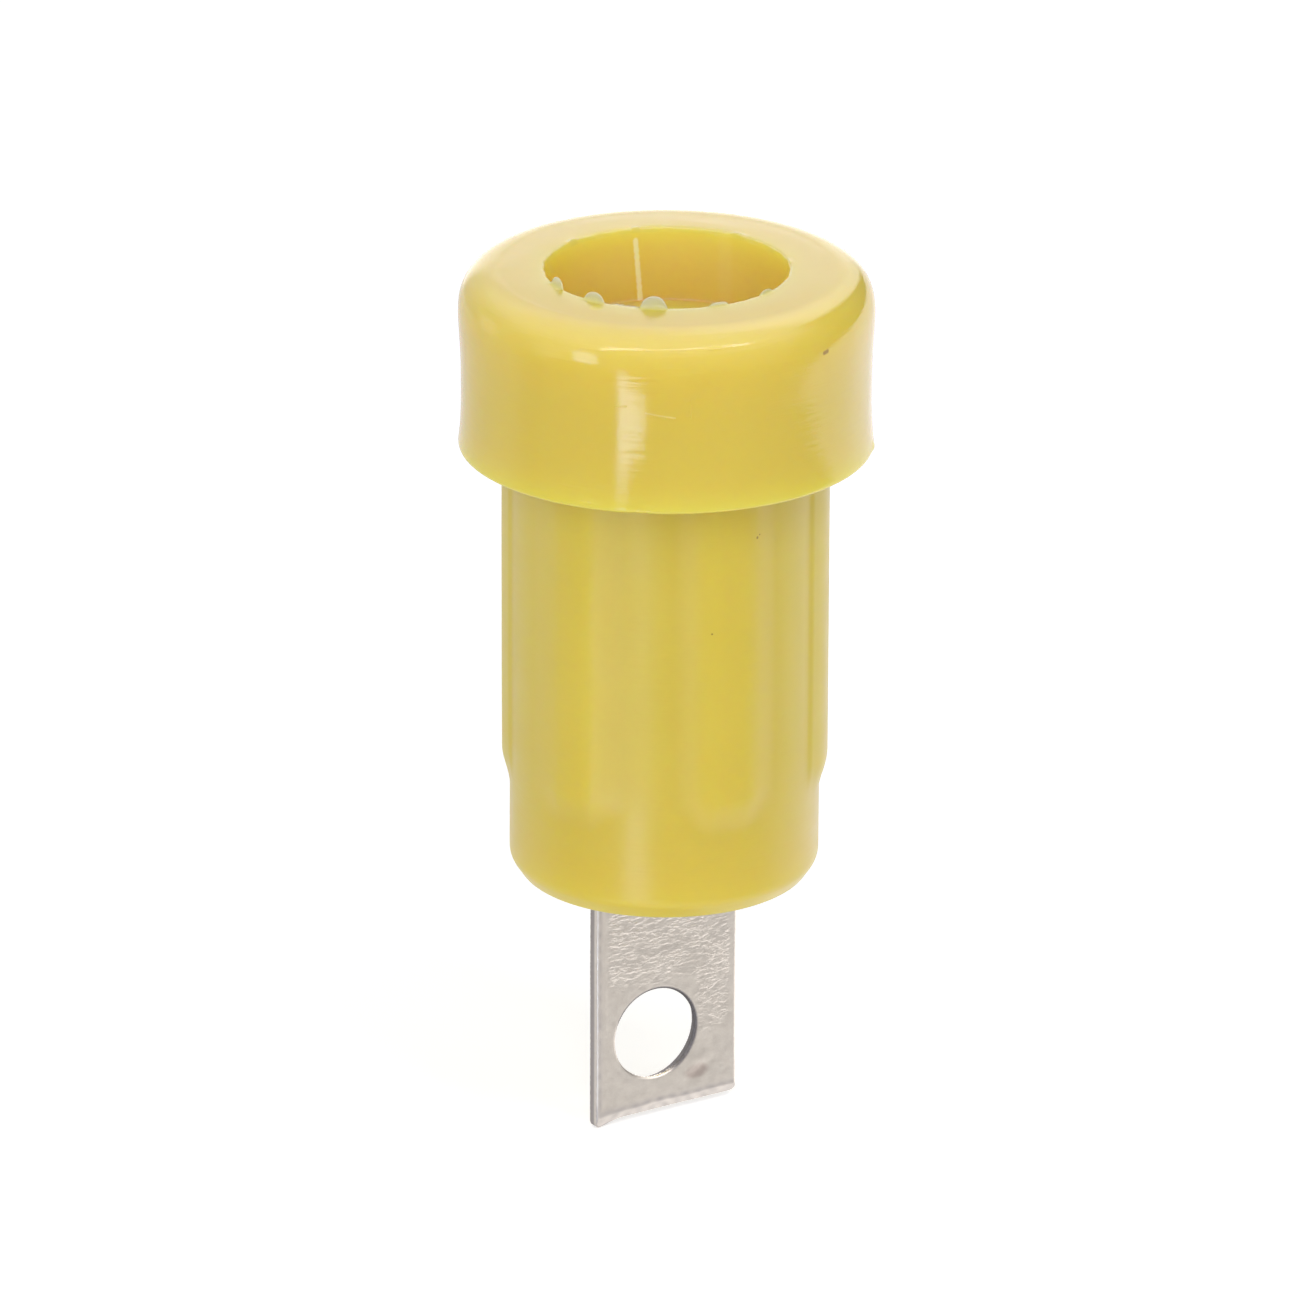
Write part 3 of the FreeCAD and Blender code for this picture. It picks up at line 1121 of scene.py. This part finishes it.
class View:
    """Direction that a ray looks in, and how far it goes right, back and up in the photograph."""

    def __init__(self, tree):
        self.direction = tree.nodes.new("ShaderNodeTexCoord").outputs["Generated"]
        self.right = self.along(1, 0, 0)
        self.back = self.along(0, 1, 0)
        self.top = self.along(0, 0, 1)

    def along(self, *axis):
        """How far the direction goes along an axis."""
        return vector_calc("DOT_PRODUCT", self.direction, tuple(from_view(*axis)))

    def beyond(self, bearing, soft):
        """Share of a direction at larger bearings than the given one."""
        return ease(self.along(*bearing_normal(bearing)), -soft, soft)


def bearing_normal(bearing):
    """Normal of an upright plane, pointing to larger bearings in view."""
    angle = math.radians(bearing)
    return (math.cos(angle), math.sin(angle), 0)


def climb(value, start, *steps):
    """Level that rises from its start by each step's amount, as the input passes through its range."""
    total = start
    for low, high, rise in steps:
        total = calc("ADD", total, ease(value, low, high, 0.0, rise))
    return total


def white_room(view):
    """Dark low in front and brighter upwards, with a lighter wall, a glow, a patch and a panel."""
    steps = (-0.21, -0.14, 0.32), (-0.05, 0.40, 0.30), (0.30, 0.72, 1.2), (0.7, 1.0, 0.5)
    room = climb(view.top, room_level, *steps)
    left_wall = product(
        ease(view.back, -0.17, 0.17),
        fade(view.right, -0.2, 0.0),
        fade(view.top, -0.2, -0.08),
    )
    glow = product(
        fade(calc("ABSOLUTE", view.along(*bearing_normal(-66))), 0.08, 0.2),
        fade(view.back, -0.2, 0.0),
        ease(view.top, -0.12, -0.02),
        fade(view.top, 0.3, 0.42),
    )
    patch = ease(view.along(-0.92, 0.39, 0.02), 0.975, 0.995)
    panel = product(
        ease(view.right, -0.08, 0.2),
        ease(view.back, 0.2, 0.5),
        climb(view.top, panel_level, (0.1, 0.35, 0.30), (0.55, 0.8, 0.45)),
    )
    for share, level in ((left_wall, left_wall_level), (glow, glow_level), (patch, patch_level)):
        room = calc("MULTIPLY_ADD", share, level, room)
    return calc("ADD", room, panel)


def dark_screen(view):
    """What a screen on the right leaves, with a crisp round edge behind and a soft side in front."""
    to_screen = view.along(0.926, 0.1875, -0.328)
    behind = ease(view.back, -0.15, 0.45)
    screen = product(ease(to_screen, 0.385, 0.475), behind)
    side = product(
        ease(calc("MULTIPLY_ADD", view.back, 0.25, to_screen), 0.55, 0.80),
        rest_of(behind),
        ease(view.top, -0.25, -0.05),
    )
    return product(
        rest_of(product(screen, screen_depth)),
        rest_of(product(side, screen_side_depth)),
    )


def bright_backdrop(view):
    """Backdrop straight behind."""
    return product(
        ease(view.back, 0.86, 0.97),
        fade(view.right, 0.1, 0.4),
        ease(view.top, -0.45, -0.1),
        backdrop_level,
    )


def strip_lamp(view):
    """Narrow strip lamp high in front."""
    off_strip = calc("ABSOLUTE", calc("SUBTRACT", view.along(-0.198, 0.653, 0.730), 0.16))
    return product(
        fade(off_strip, 0.05, 0.11),
        view.beyond(-42, 0.04),
        view.beyond(-120, 0.08),
        fade(view.back, -0.1, 0.0),
        strip_level,
    )


def lit_floor(view):
    """Lit floor behind and on the right, with a curved edge made of two straight ones."""
    shares = []
    for slope, start in ((0.60, -0.345), (0.335, -0.270)):
        edge = calc("MULTIPLY_ADD", view.back, slope, start)
        shares.append(ease(calc("SUBTRACT", edge, view.top), -0.015, 0.025))
    return product(
        *shares,
        ease(view.right, -0.2, 0.2),
        ease(view.top, -0.62, -0.5),
        ease(view.back, 0.6, 0.95, 1.0, 0.75),
        lit_floor_level,
    )


def floor_below(view):
    """Floor straight below, brighter where it is open."""
    is_open = brighter(ease(view.right, 0.05, 0.35), fade(view.back, -0.45, -0.25))
    level = ease(is_open, 0.0, 1.0, near_floor_level, open_floor_level)
    return product(fade(view.top, -0.62, -0.45), level)


def narrow_lamp(view):
    """Narrow lamp low in front, wider at its foot."""
    slanted = view.along(*Vector((-0.0306, 0.0580, -0.1135)).normalized())
    upper_foot = product(
        ease(slanted, -0.005, 0.005),
        rest_of(view.beyond(-15.0, 0.008)),
        fade(view.top, -0.344, -0.334),
    )
    lower_foot = product(
        rest_of(view.beyond(-11.6, 0.006)),
        fade(view.top, -0.416, -0.407),
    )
    neck = product(
        rest_of(view.beyond(-20.3, 0.012)),
        ease(view.top, -0.30, -0.10, 1.0, 0.4),
        fade(view.top, -0.10, -0.03),
        lamp_neck_level,
    )
    return product(
        brighter(product(brighter(upper_foot, lower_foot), lamp_foot_level), neck),
        view.beyond(-27.3, 0.012),
        fade(view.back, -0.5, -0.3),
        ease(view.top, -0.6, -0.5),
    )


def small_lamp(view):
    """Small lamp on the left, nearly square."""
    across = calc("MULTIPLY_ADD", view.along(0.696, -0.703, 0.144), 8.2, -0.165)
    upwards = calc("MULTIPLY_ADD", view.top, 4.3, -0.60)
    off = calc("ADD", calc("POWER", across, 4.0), calc("POWER", upwards, 4.0))
    return product(fade(off, 0.6, 1.4), fade(view.back, -0.3, -0.1), small_lamp_level)


def make_world():
    """World with the studio that glossy surfaces see, its lamps cool and the rest nearly white."""
    world = bpy.data.worlds.new("studio")
    bpy.context.scene.world = world
    world.use_nodes = True
    tree = world.node_tree
    view = View(tree)
    level = brighter(
        product(white_room(view), dark_screen(view)),
        strip_lamp(view),
        floor_below(view),
        bright_backdrop(view),
        lit_floor(view),
    )
    lamps = brighter(narrow_lamp(view), small_lamp(view))
    coolness = ease(calc("SUBTRACT", lamps, level), 0.0, 0.8)
    level = brighter(level, lamps)

    rays = tree.nodes.new("ShaderNodeLightPath").outputs
    glossy = rays["Is Glossy Ray"]
    white = brighter(rays["Is Camera Ray"], rays["Is Transmission Ray"])
    level = mix_value(glossy, plain_level, level)
    level = mix_value(white, level, 1.0)
    tint = mix_colour(coolness, studio_tint, lamp_tint)
    tint = mix_colour(glossy, (1, 1, 1, 1), tint)
    background = tree.nodes["Background"]
    connect(background.inputs["Color"], tint)
    connect(background.inputs["Strength"], level)


make_world()


# Lamps: square soft boxes that face the object
def add_lamp(name, bearing, elevation, distance, side, brightness):
    """Soft box with a given brightness of its face, placed by its bearing in view."""
    data = bpy.data.lights.new(name, "AREA")
    data.shape = "SQUARE"
    data.size = side * MM
    data.energy = brightness * math.pi * (side * MM) ** 2
    lamp = bpy.data.objects.new(name, data)
    bpy.context.scene.collection.objects.link(lamp)
    b, e = math.radians(bearing), math.radians(elevation)
    out = from_view(math.sin(b) * math.cos(e), -math.cos(b) * math.cos(e), math.sin(e))
    target = Vector((0, 0, -6 * MM))
    lamp.location = target + out * distance * MM
    lamp.rotation_mode = "QUATERNION"
    lamp.rotation_quaternion = out.to_track_quat("Z", "Y")
    lamp.visible_camera = False
    lamp.visible_glossy = False


add_lamp("key", 42, 54, 350, 90, 7.5)
add_lamp("fill", -12, 25, 420, 300, 2.45)

bpy.context.scene.view_settings.view_transform = "Standard"

low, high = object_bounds()
